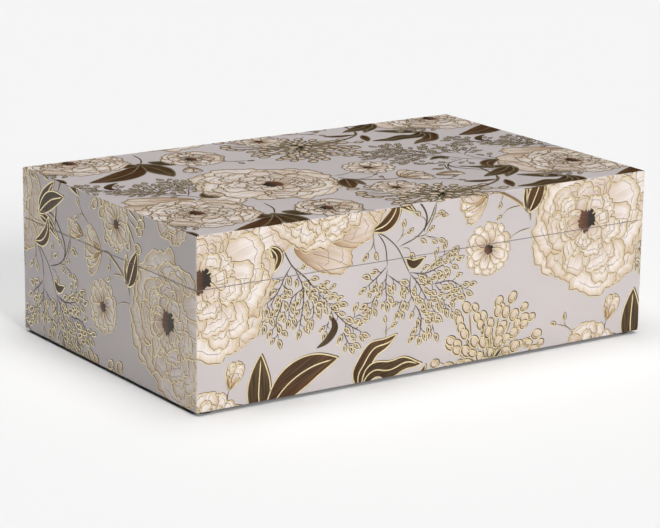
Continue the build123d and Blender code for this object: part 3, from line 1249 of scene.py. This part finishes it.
# Rows over the rounded rim, and where the wide rows begin, in shares of the rim's radius
RIM_ROWS = (0.0, 0.06, 0.2, 0.45, 0.75, 1.1)
RIM_END = 1.8
PAD_CROWN = 0.7
STRIP_CROWN = 0.15
CROWN_REACH = 12.0
LINING_STEP = 6.0


def spread(length, rim):
    """Places along one side of a lining, close together over its rounded rim."""
    rows = rim * np.array(RIM_ROWS)
    middle = np.linspace(rim * RIM_END, length - rim * RIM_END, int(length / LINING_STEP) + 2)
    return np.concatenate([rows, middle, length - rows[::-1]])


def upholstered(name, crown, shorter=0.0):
    """A velvet panel in a lining's place: flat behind, with a rounded rim and a crowned face."""
    low, high = (np.array(corner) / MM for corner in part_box(name))
    thin, across, along = np.argsort(high - low)
    low[along] += shorter
    high[along] -= shorter
    thickness, width, length = (high - low)[[thin, across, along]]
    rim = min(LINING_RIM, RIM_SHARE * thickness)
    u, v = np.meshgrid(spread(width, rim), spread(length, rim), indexing="ij")
    depth = np.minimum(np.minimum(u, width - u), np.minimum(v, length - v))
    round_over = np.sqrt(rim**2 - np.maximum(rim - depth, 0) ** 2) - rim
    height = thickness + round_over + crown * (1 - np.exp(-depth / CROWN_REACH))
    # The face looks towards the middle of the box
    inward = 1 if (low + high)[thin] < (SHELL_LOW + SHELL_HIGH)[thin] / MM else -1
    back = low[thin] if inward > 0 else high[thin]
    points = np.zeros((u.size, 3))
    points[:, across] = low[across] + u.ravel()
    points[:, along] = low[along] + v.ravel()
    points[:, thin] = back + inward * height.ravel()
    # Quads over the face, then the walls down to the flat back
    number = np.arange(u.size).reshape(u.shape)
    quads = np.stack([number[:-1, :-1], number[1:, :-1], number[1:, 1:], number[:-1, 1:]], axis=-1)
    quads = quads.reshape(-1, 4)
    ring = np.concatenate([number[:-1, 0], number[-1, :-1], number[:0:-1, -1], number[0, :0:-1]])
    behind = points[ring]
    behind[:, thin] = back
    under = u.size + np.arange(len(ring))
    walls = np.stack([np.roll(ring, -1), ring, under, np.roll(under, -1)], axis=-1)
    faces = quads.tolist() + walls.tolist() + [under[::-1].tolist()]
    data = bpy.data.meshes.new(f"{name}_velvet")
    data.from_pydata((np.vstack([points, behind]) * MM).tolist(), [], faces)
    bm = bmesh.new()
    bm.from_mesh(data)
    bmesh.ops.recalc_face_normals(bm, faces=bm.faces)
    bm.to_mesh(data)
    bm.free()
    data.polygons.foreach_set("use_smooth", np.arange(len(faces)) < len(quads))
    return added(f"{name}_velvet", data)


def line_the_box(material):
    """Velvet over card on the walls, and over thin foam on the floor and under the lid."""
    for body in ("base", "lid"):
        for name in BODIES[body]:
            if "_lining_" not in name:
                continue
            is_pad = name.endswith(("_floor", "_top"))
            is_end = name.endswith(("_left", "_right"))
            piece = upholstered(name, PAD_CROWN if is_pad else STRIP_CROWN, LINER if is_end else 0.0)
            piece.data.materials.append(material)
            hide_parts(name)
            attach(piece, body)


FAINT_STREAK = [(0.35, (0.85, 0.8, 0.75)), (0.6, WHITE)]
# For each paint: its ramp inwards, its ramp from base to tip, its streaks, its tones and, where
# they aren't the usual ones, how dense the streaks are
PAINT_RAMPS = {
    "petal": (
        [(0.0, (0.615, 0.49, 0.37)), (0.35, (0.685, 0.59, 0.485)), (0.8, (0.755, 0.69, 0.655))],
        [(0.1, (0.66, 0.54, 0.43)), (0.5, (0.88, 0.81, 0.74)), (0.8, WHITE)],
        [(0.38, (0.82, 0.73, 0.62)), (0.54, WHITE)],
        [(0.0, (0.85, 0.79, 0.72)), (0.5, WHITE)],
    ),
    "leaf": (
        CLEAN,
        [(0.0, (0.052, 0.024, 0.007)), (0.5, (0.074, 0.041, 0.014)), (1.0, (0.102, 0.062, 0.024))],
        [(0.40, (0.05, 0.04, 0.03)), (0.56, WHITE)],
        [(0.0, (1.3, 0.9, 0.8)), (0.4, WHITE), (1.0, (1.0, 1.0, 0.9))],
        20.0,
    ),
    "seed": (
        CLEAN,
        [(0.0, (0.09, 0.06, 0.03)), (1.0, (0.14, 0.10, 0.055))],
        [(0.35, (0.7, 0.65, 0.6)), (0.6, WHITE)],
    ),
    "bud": (CLEAN, [(0.0, (0.46, 0.36, 0.25)), (1.0, (0.60, 0.52, 0.42))], FAINT_STREAK),
    "berry": (
        [(0.0, (0.38, 0.25, 0.16)), (0.5, (0.56, 0.43, 0.32)), (1.0, (0.66, 0.56, 0.46))],
        [(0.0, (0.85, 0.8, 0.75)), (1.0, WHITE)],
        [(0.35, (0.88, 0.82, 0.76)), (0.6, WHITE)],
    ),
    "eye": (
        CLEAN,
        [(0.0, (0.17, 0.075, 0.04)), (0.45, (0.10, 0.045, 0.025)), (0.7, (0.03, 0.022, 0.016))],
        [(0.35, (0.5, 0.42, 0.38)), (0.6, WHITE)],
    ),
    "sepal": (CLEAN, [(0.0, (0.36, 0.20, 0.10)), (1.0, (0.48, 0.33, 0.20))], FAINT_STREAK),
}


def make_materials():
    made = {key: paint_material(f"{key}_paint", *ramps) for key, ramps in PAINT_RAMPS.items()}
    made["ground"] = surface("lacquered_ground", (0.50, 0.455, 0.45), (0.55, 0.50, 0.495), (14, 4))
    made["ink"] = surface("brown_ink", (0.08, 0.052, 0.032), (0.13, 0.088, 0.055), (60, 3))
    made["sepia"] = surface("sepia_ink", (0.20, 0.13, 0.08), (0.29, 0.20, 0.13), (60, 3))
    made["foil"] = surface(
        "gold_foil", (0.74, 0.60, 0.33), (0.86, 0.74, 0.45), (120, 3), (900, 2, 0.06, 0.0003),
        Metallic=0.76, Roughness=0.16,
    )
    made["board"] = surface(
        "dark_board", (0.030, 0.020, 0.016), (0.055, 0.038, 0.030), (160, 6), (700, 4, 0.25, 0.0004),
        Roughness=0.42,
    )
    made["velvet"] = surface(
        "brown_velvet", (0.075, 0.042, 0.030), (0.120, 0.072, 0.052), (45, 4), (2600, 2, 0.5, 0.0006),
        Roughness=0.95, Sheen_Weight=0.9, Sheen_Roughness=0.35, Sheen_Tint=(0.85, 0.66, 0.55, 1),
    )
    made["rubber"] = surface(
        "black_rubber", (0.010, 0.010, 0.010), (0.022, 0.021, 0.020), (500, 3), (1500, 3, 0.3, 0.0003),
        Roughness=0.75,
    )
    made["brass"] = brass_material("brushed_brass", 0.32)
    made["screw"] = brass_material("polished_brass", 0.2)
    return made


add_camera()
add_world()
add_floor()
add_key()
materials = make_materials()
finish_cad_pieces(materials)
line_the_box(materials["velvet"])
print_the_box(materials)
